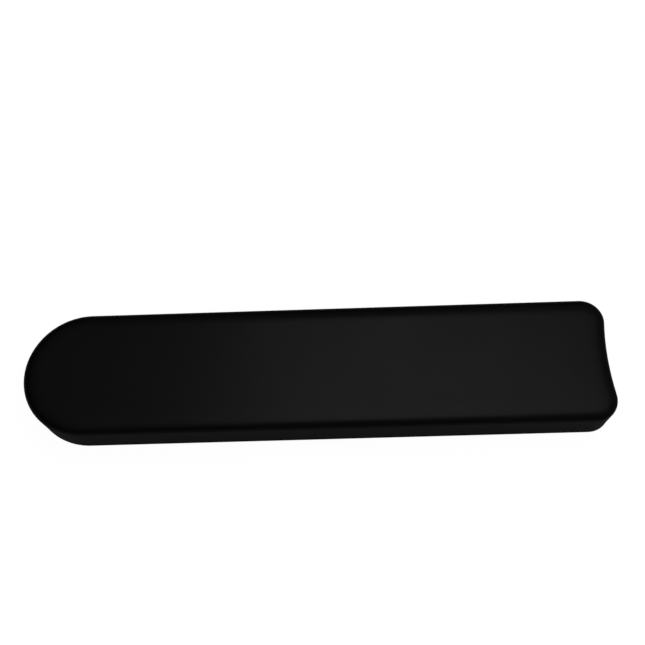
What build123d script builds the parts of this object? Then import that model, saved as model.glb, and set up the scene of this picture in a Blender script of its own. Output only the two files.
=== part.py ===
"""Moulded armrest pad for an office chair: a soft integral-skin pad over a plywood insert.

The pad lies along X, with its round front end towards -X and its hollowed rear end towards +X.
Its underside, which bolts to the arm of the chair, is at Z = 0. All sizes are in millimetres.
"""

import os
from math import sqrt

from build123d import *

# ---- driving dimensions ---------------------------------------------------------------------

# The pad as a whole
pad_length = 254.0
pad_width = 55.5
pad_height = 22.0
hollow_radius = 125.0  # the arc that hollows the rear end
rear_corner = 10.0  # rounding, in plan, of the two rear corners
top_roll = 6.0  # rounding of the edge round the top face
bottom_round = 2.5  # rounding of the edge round the underside
skin_wall = 1.3

# The plywood insert
board_thickness = 9.0
board_margin = 5.5  # width of the moulded rim round the board
flow_hole_radius = 6.0
flow_hole_spacing = 96.0  # from the middle flow hole to each of the other two

# The tee nuts, and the two hole spacings that they give
outer_spacing = 152.4
inner_spacing = 101.6
thread_bore_radius = 2.5
barrel_radius = 3.9
barrel_length = 8.0
barrel_clearance = 0.15
flange_radius = 9.5
flange_thickness = 1.2
prong_count = 4
prong_length = 5.5
prong_width = 3.2
prong_thickness = 1.2
prong_taper = 5.0  # degrees

# The caps that keep foam out of the threads
cap_wall = 1.0
cap_room = 4.5  # free height above the flange, for the tip of the screw
cap_clearance = 1.6  # from the wall of the thread to the inside of the cap

# ---- sizes that follow ----------------------------------------------------------------------

half_width = pad_width / 2
rear_x = pad_length / 2
nose_x = half_width - pad_length / 2  # centre of the round front end

# A rear corner touches the side of the pad and the hollow, and its outermost point is at rear_x.
corner_to_hollow = sqrt((hollow_radius + rear_corner) ** 2 - (half_width - rear_corner) ** 2)
hollow_x = rear_x - rear_corner + corner_to_hollow

nut_places = (-outer_spacing / 2, -inner_spacing / 2, inner_spacing / 2, outer_spacing / 2)
flow_places = ((-flow_hole_spacing, 0), (0, 0), (flow_hole_spacing, 0))
barrel_hole_radius = barrel_radius + barrel_clearance
flange_top = board_thickness + flange_thickness
cap_radius = thread_bore_radius + cap_clearance + cap_wall
cap_height = cap_room + cap_wall


def pad_outline(inset, height):
    """The pad's outline in plan, drawn in all the way round by inset, at a height."""
    with BuildSketch(Plane.XY.offset(height)) as outline:
        with Locations((nose_x, 0)):
            Circle(half_width)
            Rectangle(hollow_x - nose_x, pad_width, align=(Align.MIN, Align.CENTER))
        with Locations((hollow_x, 0)):
            Circle(hollow_radius, mode=Mode.SUBTRACT)
        fillet(outline.vertices().group_by(Axis.X)[-1], rear_corner)
        if inset:
            offset(amount=-inset, mode=Mode.REPLACE)
    return outline.sketch


# ---- shapes that several pieces share -------------------------------------------------------

# All that the skin encloses: the foam and what is buried in it.
with BuildPart() as inside_skin:
    add(pad_outline(skin_wall, skin_wall))
    extrude(amount=pad_height - 2 * skin_wall)
    fillet(inside_skin.faces().sort_by(Axis.Z)[-1].edges(), top_roll - skin_wall)

# The insert before its holes are cut.
with BuildPart() as board_blank:
    add(pad_outline(board_margin, 0))
    extrude(amount=board_thickness)

# The outside of the four caps, with the air under them.
with BuildPart() as cap_outsides:
    with BuildSketch(Plane.XY.offset(flange_top)):
        with Locations([(nut_x, 0) for nut_x in nut_places]):
            Circle(cap_radius)
    extrude(amount=cap_height)
    fillet(cap_outsides.edges().group_by(Axis.Z)[-1], cap_wall)


# ---- the moulding: a dense skin round a soft core -------------------------------------------

with BuildPart() as outer_skin:
    add(pad_outline(0, 0))
    extrude(amount=pad_height)
    fillet(outer_skin.faces().sort_by(Axis.Z)[-1].edges(), top_roll)
    fillet(outer_skin.faces().sort_by(Axis.Z)[0].edges(), bottom_round)
    add(inside_skin.part, mode=Mode.SUBTRACT)
    add(board_blank.part, mode=Mode.SUBTRACT)

with BuildPart() as foam_core:
    add(inside_skin.part)
    add(board_blank.part, mode=Mode.SUBTRACT)
    # Foam that ran through the flow holes and set flush with the underside.
    with BuildSketch():
        with Locations(flow_places):
            Circle(flow_hole_radius)
    extrude(amount=board_thickness)
    # Room for the flanges and the caps, which the foam sets round.
    with BuildSketch(Plane.XY.offset(board_thickness)):
        with Locations([(nut_x, 0) for nut_x in nut_places]):
            Circle(flange_radius)
    extrude(amount=flange_thickness, mode=Mode.SUBTRACT)
    add(cap_outsides.part, mode=Mode.SUBTRACT)


# ---- tee nuts and their caps ----------------------------------------------------------------

def make_tee_nut(nut_x):
    """A stamped flange that lies on the board, a threaded barrel and four pressed-in prongs."""
    seat = Plane(origin=(nut_x, 0, board_thickness))
    with BuildPart() as nut:
        with BuildSketch(seat):
            Circle(flange_radius)
        extrude(amount=flange_thickness)
        with BuildSketch(seat):
            Circle(barrel_radius)
        extrude(amount=-barrel_length)
        with BuildSketch(seat):
            with PolarLocations(flange_radius - prong_thickness, prong_count, start_angle=45):
                Rectangle(prong_thickness, prong_width)
        extrude(amount=-prong_length, taper=prong_taper)
        with BuildSketch(seat.offset(flange_thickness)):
            Circle(thread_bore_radius)
        extrude(amount=-(flange_thickness + barrel_length), mode=Mode.SUBTRACT)
    return nut.part


def make_thread_cap(nut_x):
    """A small cup, upside down on the flange, closed over the thread."""
    seat = Plane(origin=(nut_x, 0, flange_top))
    with BuildPart() as cap:
        with BuildSketch(seat):
            Circle(cap_radius)
        extrude(amount=cap_height)
        fillet(cap.edges().group_by(Axis.Z)[-1], cap_wall)
        with BuildSketch(seat):
            Circle(cap_radius - cap_wall)
        extrude(amount=cap_room, mode=Mode.SUBTRACT)
    return cap.part


tee_nuts = [make_tee_nut(nut_x) for nut_x in nut_places]
thread_caps = [make_thread_cap(nut_x) for nut_x in nut_places]


# ---- the insert, cut for the nuts and for the foam ------------------------------------------

with BuildPart() as insert_board:
    add(board_blank.part)
    with BuildSketch():
        with Locations([(nut_x, 0) for nut_x in nut_places]):
            Circle(barrel_hole_radius)
        with Locations(flow_places):
            Circle(flow_hole_radius)
    extrude(amount=board_thickness, mode=Mode.SUBTRACT)
    # The slits that the prongs press for themselves.
    add(tee_nuts, mode=Mode.SUBTRACT)


# ---- export ---------------------------------------------------------------------------------

pieces = {
    "outer_skin": outer_skin.part,
    "foam_core": foam_core.part,
    "insert_board": insert_board.part,
}
for number, (tee_nut, thread_cap) in enumerate(zip(tee_nuts, thread_caps), start=1):
    pieces[f"tee_nut_{number}"] = tee_nut
    pieces[f"thread_cap_{number}"] = thread_cap

os.makedirs("parts", exist_ok=True)
for name, piece in pieces.items():
    piece.label = name
    export_step(piece, f"parts/{name}.step")
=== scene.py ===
"""Armrest pad: a moulded polyurethane pad over a plywood insert with four tee nuts."""

from math import cos, pi, radians, sin, sqrt

import bmesh
import bpy
from mathutils import Matrix, Vector


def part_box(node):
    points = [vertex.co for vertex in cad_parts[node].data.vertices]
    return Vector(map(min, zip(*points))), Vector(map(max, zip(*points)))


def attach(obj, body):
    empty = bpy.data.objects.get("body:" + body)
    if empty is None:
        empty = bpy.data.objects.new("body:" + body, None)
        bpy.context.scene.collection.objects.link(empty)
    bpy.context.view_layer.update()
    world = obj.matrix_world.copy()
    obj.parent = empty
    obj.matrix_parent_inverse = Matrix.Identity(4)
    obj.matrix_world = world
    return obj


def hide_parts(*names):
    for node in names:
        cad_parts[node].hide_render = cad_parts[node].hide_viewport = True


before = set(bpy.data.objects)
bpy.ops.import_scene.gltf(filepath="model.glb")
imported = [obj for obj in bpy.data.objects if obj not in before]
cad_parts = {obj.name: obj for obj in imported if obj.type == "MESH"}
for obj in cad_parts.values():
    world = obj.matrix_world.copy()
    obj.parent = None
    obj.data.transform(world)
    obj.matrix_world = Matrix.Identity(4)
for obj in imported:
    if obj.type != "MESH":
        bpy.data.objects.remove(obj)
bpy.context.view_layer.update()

mm = 0.001


# ---- Outer skin ---------------------------------------------------------------------------
# The skin is the dense outside of a one-shot polyurethane moulding. It wraps the top, the sides
# and the rim of the underside in one piece, with no sewn seam, and stops at the edge of the
# board. A faint line low on the sides is where the two halves of the mould meet.

skin_low, skin_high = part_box("outer_skin")
board_low, board_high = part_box("insert_board")
foam_low, foam_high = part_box("foam_core")

pad_top = skin_high[2]
half_width = (skin_high[1] - skin_low[1]) / 2
skin_wall = foam_low[0] - skin_low[0]
rim_width = board_low[0] - skin_low[0]
hollow_radius = 125 * mm
rear_corner = 10 * mm
bottom_round = 2.5 * mm
trim_line = 0.12 * mm  # how far the trimmed edge of the mould's joint stands proud
roll_width = 10 * mm  # the top edge rolls over further inwards than it drops
roll_drop = 5 * mm
roll_run_out = 2 / 3  # under 1, so that the roll flattens little by little into the top
roll_end = 87  # degrees, just short of level, where the crown takes over
plain_roll = 6 * mm  # the CAD solid's top rounding, which the inside of the skin keeps to
inner_roll = plain_roll - skin_wall
crown = 0.15 * mm
crown_blending = 30  # passes that round off the ridges where the crown turns a corner
blending_share = 0.5  # how far a pass moves each point towards its neighbours' mean height

# How finely the outline, the profile and the top are divided.
nose_steps = 48
side_steps = 56
corner_steps = 14
hollow_steps = 20
roll_steps = 22
edge_steps = 6
top_steps = 8
weld_distance = 0.002 * mm

nose_x = skin_low[0] + half_width
corner_x = skin_high[0] - rear_corner
corner_y = half_width - rear_corner
corner_to_hollow = hollow_radius + rear_corner
hollow_x = corner_x + sqrt(corner_to_hollow ** 2 - corner_y ** 2)
corner_turn = pi / 2 + Vector((hollow_x - corner_x, corner_y)).angle(Vector((1, 0)))
hollow_turn = 2 * (corner_turn - pi / 2)


def draw_outline(mesh, inset, height):
    """The pad's outline as one closed ring: nose, side, corner, hollow, corner, side."""
    drawn_before = set(mesh.edges)
    start = mesh.verts.new((nose_x, half_width - inset, height))
    pen = start

    def go_round(centre_x, centre_y, turn, steps):
        swept = bmesh.ops.spin(
            mesh, geom=[pen], cent=(centre_x, centre_y, height), axis=(0, 0, 1), angle=turn, steps=steps
        )
        return swept["geom_last"][0]

    def go_straight(run, steps):
        last = pen
        for _ in range(steps):
            last = bmesh.ops.extrude_vert_indiv(mesh, verts=[last])["verts"][0]
            last.co.x += run / steps
        return last

    pen = go_round(nose_x, 0, pi, nose_steps)
    pen = go_straight(corner_x - nose_x, side_steps)
    pen = go_round(corner_x, -corner_y, corner_turn, corner_steps)
    pen = go_round(hollow_x, 0, -hollow_turn, hollow_steps)
    pen = go_round(corner_x, corner_y, corner_turn, corner_steps)
    pen = go_straight(nose_x - corner_x, side_steps)
    bmesh.ops.pointmerge(mesh, verts=[start, pen], merge_co=start.co)
    return [edge for edge in mesh.edges if edge not in drawn_before]


def close_top(mesh, ring, rise):
    """Draws a ring in to the pad's middle line in even steps, rising to a slight crown."""
    middle_end = corner_x - half_width / 2
    for step in range(top_steps):
        drawn = bmesh.ops.extrude_edge_only(mesh, edges=ring)["geom"]
        inner_verts = {item for item in drawn if isinstance(item, bmesh.types.BMVert)}
        inner_edges = {edge for vert in inner_verts for edge in vert.link_edges
                       if inner_verts.issuperset(edge.verts)}
        mesh.edges.index_update()
        ring = sorted(inner_edges, key=lambda edge: edge.index)
        share_left = 1 - step / top_steps
        lift = rise * (share_left ** 2 - (share_left - 1 / top_steps) ** 2)
        for vert in inner_verts:
            middle = Vector((min(max(vert.co.x, nose_x), middle_end), 0, vert.co.z))
            vert.co = vert.co.lerp(middle, 1 / (top_steps - step))
            vert.co.z += lift


def shell_through(mesh, profile):
    """Bridges one ring to the next through the (inset, height) pairs of a profile."""
    rings = [draw_outline(mesh, inset, height) for inset, height in profile]
    for ring, next_ring in zip(rings, rings[1:]):
        bmesh.ops.bridge_loops(mesh, edges=ring + next_ring)
    return rings


def rounded(centre_inset, centre_height, across, up, start, end, steps, run_out=1):
    """(inset, height) pairs along part of an ellipse, which a run_out under 1 flattens on top."""
    angles = [radians(start + (end - start) * step / steps) for step in range(steps + 1)]
    return [(centre_inset - across * cos(a) ** run_out, centre_height + up * sin(a)) for a in angles]


def finish_piece(name, mesh, material, slot, *nodes, sharp_over=35):
    """Turns a bmesh into a piece that rides on the root body, and hides the CAD nodes it is built in place
    of.
    """
    bmesh.ops.remove_doubles(mesh, verts=mesh.verts, dist=weld_distance)
    bmesh.ops.recalc_face_normals(mesh, faces=mesh.faces)
    data = bpy.data.meshes.new(name)
    mesh.to_mesh(data)
    mesh.free()
    data.shade_smooth()
    data.set_sharp_from_angle(angle=radians(sharp_over))
    data.materials.append(material)
    piece = bpy.data.objects.new(name, data)
    bpy.context.collection.objects.link(piece)
    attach(piece, "root")
    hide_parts(*nodes)
    return piece


def linear(hex_colour):
    """An sRGB hex colour as linear RGBA."""
    shares = [int(hex_colour[i:i + 2], 16) / 255 for i in (1, 3, 5)]
    return [s / 12.92 if s <= 0.04045 else ((s + 0.055) / 1.055) ** 2.4 for s in shares] + [1]


def add_node(material, kind, sockets, **settings):
    """Adds a node with its settings, and sets or links each socket."""
    node = material.node_tree.nodes.new(kind)
    for name, value in settings.items():
        setattr(node, name, value)
    for socket, value in sockets.items():
        if isinstance(value, bpy.types.NodeSocket):
            material.node_tree.links.new(value, node.inputs[socket])
        else:
            node.inputs[socket].default_value = value
    return node


def new_material(name):
    """An empty node material."""
    material = bpy.data.materials.new(name)
    material.use_nodes = True
    material.node_tree.nodes.clear()
    return material


def object_place(material):
    """The object coordinates, in metres, as a socket of the material."""
    return add_node(material, "ShaderNodeTexCoord", {}).outputs["Object"]


def show(material, shader):
    """Links a shader to the material's output."""
    add_node(material, "ShaderNodeOutputMaterial", {"Surface": shader.outputs[0]})


# Self-skinned polyurethane, cast against a fine satin-blasted mould: near black, with a soft wide
# sheen, a very fine pebble, and faint clouds in the gloss where the release agent lay thicker.
moulded_polyurethane = new_material("moulded_polyurethane_satin_black")
place = object_place(moulded_polyurethane)
pebble_size = 0.55 * mm
cloud_size = 28 * mm
pebble = add_node(
    moulded_polyurethane, "ShaderNodeTexNoise",
    {"Vector": place, "Scale": 1 / pebble_size, "Detail": 2.0, "Roughness": 0.55},
)
clouds = add_node(
    moulded_polyurethane, "ShaderNodeTexNoise",
    {"Vector": place, "Scale": 1 / cloud_size, "Detail": 3.0, "Roughness": 0.5},
)
gloss = add_node(
    moulded_polyurethane, "ShaderNodeMapRange",
    {"Value": clouds.outputs["Fac"], "From Min": 0.3, "From Max": 0.7, "To Min": 0.27, "To Max": 0.32},
)
tint = add_node(
    moulded_polyurethane, "ShaderNodeMix",
    {"Factor": clouds.outputs["Fac"], "A": linear("#09080e"), "B": linear("#0d0b14")},
    data_type="RGBA",
)
relief = add_node(
    moulded_polyurethane, "ShaderNodeBump",
    {"Height": pebble.outputs["Fac"], "Strength": 0.35, "Distance": 0.03 * mm},
)
shader = add_node(
    moulded_polyurethane, "ShaderNodeBsdfPrincipled",
    {
        "Base Color": tint.outputs["Result"],
        "Roughness": gloss.outputs["Result"],
        "IOR": 1.5,
        "Normal": relief.outputs["Normal"],
    },
)
show(moulded_polyurethane, shader)

skin_mesh = bmesh.new()
outside = shell_through(
    skin_mesh,
    [(rim_width, 0)]
    + rounded(bottom_round, bottom_round, bottom_round, bottom_round, -90, 0, edge_steps)
    + [(-trim_line, bottom_round + trim_line), (-trim_line, bottom_round + 2 * trim_line)]
    + [(0, bottom_round + 3 * trim_line)]
    + rounded(
        roll_width, pad_top - crown - roll_drop, roll_width, roll_drop, 0, roll_end, roll_steps, roll_run_out
    ),
)
close_top(skin_mesh, outside[-1], crown)
crowned = [vert for vert in skin_mesh.verts if vert.co.z > pad_top - crown]
for _ in range(crown_blending):
    bmesh.ops.smooth_vert(skin_mesh, verts=crowned, factor=blending_share, use_axis_z=True)
inside = shell_through(
    skin_mesh,
    [(rim_width, skin_wall), (skin_wall, skin_wall)]
    + rounded(
        skin_wall + inner_roll, foam_high[2] - inner_roll, inner_roll, inner_roll, 0, 90, edge_steps
    ),
)
close_top(skin_mesh, inside[-1], 0)
bmesh.ops.bridge_loops(skin_mesh, edges=outside[0] + inside[0])
pad_skin = finish_piece("pad_skin", skin_mesh, moulded_polyurethane, "black_skin", "outer_skin")


# ---- Foam core ----------------------------------------------------------------------------
# The soft inside of the same casting: open-celled foam that set round the board, the flanges and
# the caps. It ran through three holes in the board, and shrank a little in them as it cooled.

plug_steps = 3
plug_step = 1.2 * mm
plug_dish = 0.12 * mm  # how far each step sinks into a plug's shrunken face
level_within = 0.01 * mm  # a face this near the table belongs to the flat underside

cellular_foam = new_material("cellular_polyurethane_cut_open")
place = object_place(cellular_foam)
cell_size = 0.45 * mm
cells = add_node(
    cellular_foam, "ShaderNodeTexVoronoi", {"Vector": place, "Scale": 1 / cell_size}, feature="F1"
)
pores = add_node(
    cellular_foam, "ShaderNodeBump", {"Height": cells.outputs["Distance"], "Distance": 0.2 * mm}
)
shader = add_node(
    cellular_foam, "ShaderNodeBsdfPrincipled",
    {"Base Color": linear("#1c1c1e"), "Roughness": 0.85, "Normal": pores.outputs["Normal"]},
)
show(cellular_foam, shader)

foam_mesh = bmesh.new()
foam_mesh.from_mesh(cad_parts["foam_core"].data)
bmesh.ops.remove_doubles(foam_mesh, verts=foam_mesh.verts, dist=weld_distance)
underside = [face for face in foam_mesh.faces if max(vert.co.z for vert in face.verts) < level_within]
plugs = bmesh.ops.dissolve_faces(foam_mesh, faces=underside)["region"]
for plug in plugs:
    plug.material_index = 1
for _ in range(plug_steps):
    bmesh.ops.inset_individual(foam_mesh, faces=plugs, thickness=plug_step, depth=-plug_dish)
foam = finish_piece("foam_core_cast", foam_mesh, cellular_foam, "soft_foam", "foam_core", sharp_over=30)
foam.data.materials.append(moulded_polyurethane)


# ---- Insert board -------------------------------------------------------------------------
# Nine-millimetre birch plywood, sawn to follow the pad's outline and sanded. The face veneer
# runs lengthways and shows on the underside; the sawn plies show only inside the holes.

birch_plywood = new_material("birch_plywood_sanded")
place = object_place(birch_plywood)
figure_length = 70 * mm
figure_width = 5 * mm
fibre_length = 9 * mm
fibre_width = 0.35 * mm
ply_count = 7
ply_pitch = 2 * (board_high[2] - board_low[2]) / ply_count  # a light and a dark ply

figure_place = add_node(
    birch_plywood, "ShaderNodeMapping",
    {"Vector": place, "Scale": (1 / figure_length, 1 / figure_width, 1 / figure_width)},
)
figure = add_node(
    birch_plywood, "ShaderNodeTexNoise",
    {"Vector": figure_place.outputs[0], "Scale": 1.0, "Detail": 4.0, "Distortion": 0.6},
)
fibre_place = add_node(
    birch_plywood, "ShaderNodeMapping",
    {"Vector": place, "Scale": (1 / fibre_length, 1 / fibre_width, 1 / fibre_width)},
)
fibres = add_node(
    birch_plywood, "ShaderNodeTexNoise", {"Vector": fibre_place.outputs[0], "Scale": 1.0, "Detail": 2.0}
)
veneer = add_node(
    birch_plywood, "ShaderNodeMix",
    {"Factor": figure.outputs["Fac"], "A": linear("#b8905c"), "B": linear("#e2c596")},
    data_type="RGBA",
)
fibre_shade = add_node(
    birch_plywood, "ShaderNodeMapRange",
    {"Value": fibres.outputs["Fac"], "From Min": 0.3, "From Max": 0.62, "To Min": 0.72, "To Max": 1.0},
)
grained = add_node(
    birch_plywood, "ShaderNodeVectorMath",
    {0: veneer.outputs["Result"], 3: fibre_shade.outputs["Result"]}, operation="SCALE",
)
depth = add_node(birch_plywood, "ShaderNodeSeparateXYZ", {"Vector": place}).outputs["Z"]
plies = add_node(birch_plywood, "ShaderNodeMath", {0: depth, 1: 2 * pi / ply_pitch}, operation="MULTIPLY")
ply_wave = add_node(birch_plywood, "ShaderNodeMath", {0: plies.outputs[0]}, operation="SINE")
ply_shade = add_node(
    birch_plywood, "ShaderNodeMapRange",
    {"Value": ply_wave.outputs[0], "From Min": -0.2, "From Max": 0.2, "To Min": 0.62, "To Max": 1.0},
)
wood = add_node(
    birch_plywood, "ShaderNodeVectorMath",
    {0: grained.outputs[0], 3: ply_shade.outputs["Result"]}, operation="SCALE",
)
raised_fibres = add_node(
    birch_plywood, "ShaderNodeBump",
    {"Height": fibres.outputs["Fac"], "Strength": 0.5, "Distance": 0.08 * mm},
)
shader = add_node(
    birch_plywood, "ShaderNodeBsdfPrincipled",
    {"Base Color": wood.outputs[0], "Roughness": 0.62, "Normal": raised_fibres.outputs["Normal"]},
)
show(birch_plywood, shader)


def dress(node, material):
    """Gives a CAD node its finish."""
    for material_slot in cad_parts[node].material_slots:
        material_slot.material = material


dress("insert_board", birch_plywood)


# ---- Tee nuts -----------------------------------------------------------------------------
# Stamped from mild steel strip, tapped M6 and bright zinc plated. The prongs are pressed into
# the top of the board, and the end of the barrel stops just inside the underside.

zinc_plate = new_material("zinc_plated_steel_tapped")
place = object_place(zinc_plate)
fixings = (1, 2, 3, 4)
thread_pitch = 1.0 * mm
blush_size = 4 * mm
blush = add_node(zinc_plate, "ShaderNodeTexNoise", {"Vector": place, "Scale": 1 / blush_size, "Detail": 3.0})
plating = add_node(
    zinc_plate, "ShaderNodeMix",
    {"Factor": blush.outputs["Fac"], "A": linear("#a9adb3"), "B": linear("#c9c8c4")},
    data_type="RGBA",
)
dullness = add_node(
    zinc_plate, "ShaderNodeMapRange", {"Value": blush.outputs["Fac"], "To Min": 0.22, "To Max": 0.42}
)
depth = add_node(zinc_plate, "ShaderNodeSeparateXYZ", {"Vector": place}).outputs["Z"]
turns = add_node(zinc_plate, "ShaderNodeMath", {0: depth, 1: thread_pitch}, operation="DIVIDE")
thread = add_node(zinc_plate, "ShaderNodeMath", {0: turns.outputs[0], 1: 1.0}, operation="PINGPONG")
thread_relief = add_node(
    zinc_plate, "ShaderNodeBump", {"Height": thread.outputs[0], "Strength": 0.9, "Distance": 0.5 * mm}
)
shader = add_node(
    zinc_plate, "ShaderNodeBsdfPrincipled",
    {
        "Base Color": plating.outputs["Result"],
        "Metallic": 1.0,
        "Roughness": dullness.outputs["Result"],
        "Normal": thread_relief.outputs["Normal"],
    },
)
show(zinc_plate, shader)

for number in fixings:
    dress(f"tee_nut_{number}", zinc_plate)


# ---- Thread caps --------------------------------------------------------------------------
# Small cups of natural polyethylene, injection moulded. Each is pushed over the thread before
# casting, keeps the foam out, and leaves room for the tip of the screw.

natural_polyethylene = new_material("polyethylene_natural_moulded")
place = object_place(natural_polyethylene)
milk_size = 3 * mm
milk_depth = 1 * mm
milk = add_node(natural_polyethylene, "ShaderNodeTexNoise", {"Vector": place, "Scale": 1 / milk_size})
waxy = add_node(
    natural_polyethylene, "ShaderNodeMapRange", {"Value": milk.outputs["Fac"], "To Min": 0.3, "To Max": 0.45}
)
shader = add_node(
    natural_polyethylene, "ShaderNodeBsdfPrincipled",
    {"Base Color": linear("#dcdcd4"), "Roughness": waxy.outputs["Result"], "Subsurface Weight": 0.15},
)
shader.inputs["Subsurface Radius"].default_value = (milk_depth, milk_depth, milk_depth)
show(natural_polyethylene, shader)

for number in fixings:
    dress(f"thread_cap_{number}", natural_polyethylene)


# ---- Floor, light and camera --------------------------------------------------------------
# A plain white table under two soft lamps that hang level, side by side: a brighter one over
# the pad and past its rear end, and a dimmer one beyond. The round end falls off darker.

table_reach = 4
floor_mesh = bmesh.new()
bmesh.ops.create_grid(floor_mesh, x_segments=1, y_segments=1, size=table_reach)
floor_data = bpy.data.meshes.new("floor")
floor_mesh.to_mesh(floor_data)
floor_mesh.free()
floor = bpy.data.objects.new("floor", floor_data)
bpy.context.collection.objects.link(floor)

# A matt white board, overexposed in the picture only, so that it keeps a trace of contact shadow
# and yet lights the pad no more than a dim room would.
white_board = new_material("matt_white_board_overexposed")
overexposure = 0.95
in_picture = add_node(white_board, "ShaderNodeLightPath", {}).outputs["Is Camera Ray"]
glare = add_node(white_board, "ShaderNodeMath", {0: in_picture, 1: overexposure}, operation="MULTIPLY")
paint = add_node(white_board, "ShaderNodeBsdfDiffuse", {"Color": linear("#aeaeae")})
glow = add_node(white_board, "ShaderNodeEmission", {"Strength": glare.outputs[0]})
show(white_board, add_node(white_board, "ShaderNodeAddShader", {0: paint.outputs[0], 1: glow.outputs[0]}))
floor_data.materials.append(white_board)


def hang_light(name, spot, width, depth, watts):
    """A soft rectangular lamp that hangs level and shines down."""
    lamp = bpy.data.lights.new(name, "AREA")
    lamp.shape = "RECTANGLE"
    lamp.size = width
    lamp.size_y = depth
    lamp.energy = watts
    hung = bpy.data.objects.new(name, lamp)
    hung.location = spot
    bpy.context.collection.objects.link(hung)


hang_light("overhead_softbox", (0.11, -0.1, 1.0), width=0.53, depth=1.5, watts=0.66)
hang_light("side_softbox", (0.7, -0.05, 1.0), width=0.65, depth=1.1, watts=0.27)

# The room: dim light, brightest almost straight above and a little towards the pad's rear end,
# that dies away towards the horizon. It is white in the picture.
studio = bpy.data.worlds.new("studio")
bpy.context.scene.world = studio
studio.use_nodes = True
studio.node_tree.nodes.clear()
brightest_way = (0.22, -0.08, 0.92)
glow_sets_in = -0.05  # the share of the brightest way at which the room is still dark
full_glow = 0.114
direction = add_node(studio, "ShaderNodeTexCoord", {}).outputs["Generated"]
lit_side = add_node(
    studio, "ShaderNodeVectorMath", {0: direction, 1: brightest_way}, operation="DOT_PRODUCT"
)
ceiling = add_node(
    studio, "ShaderNodeMapRange",
    {"Value": lit_side.outputs["Value"], "From Min": glow_sets_in, "To Max": full_glow},
)
in_picture = add_node(studio, "ShaderNodeLightPath", {}).outputs["Is Camera Ray"]
brightness = add_node(
    studio, "ShaderNodeMix", {"Factor": in_picture, "A": ceiling.outputs[0], "B": 1.0}, data_type="FLOAT"
)
room = add_node(
    studio, "ShaderNodeBackground",
    {"Color": linear("#ffffff"), "Strength": brightness.outputs[0]},
)
add_node(studio, "ShaderNodeOutputWorld", {"Surface": room.outputs[0]})

target = Vector((3.46, 24.6, 10)) * mm
azimuth = radians(3.23)
elevation = radians(65.52)
roll = radians(-4.71)
distance = 369.9 * mm

towards_camera = Vector(
    (sin(azimuth) * cos(elevation), -cos(azimuth) * cos(elevation), sin(elevation))
)
level_right = Vector((0, 0, 1)).cross(towards_camera).normalized()
level_up = towards_camera.cross(level_right)
right = level_right * cos(roll) + level_up * sin(roll)
up = level_up * cos(roll) - level_right * sin(roll)
camera = bpy.data.objects.new("camera", bpy.data.cameras.new("camera"))
bpy.context.collection.objects.link(camera)
camera.matrix_world = Matrix.Translation(target + towards_camera * distance) @ Matrix(
    (right, up, towards_camera)
).transposed().to_4x4()
camera.data.lens = 45.54
camera.data.clip_start = 10 * mm
bpy.context.scene.camera = camera
bpy.context.scene.view_settings.view_transform = "Standard"
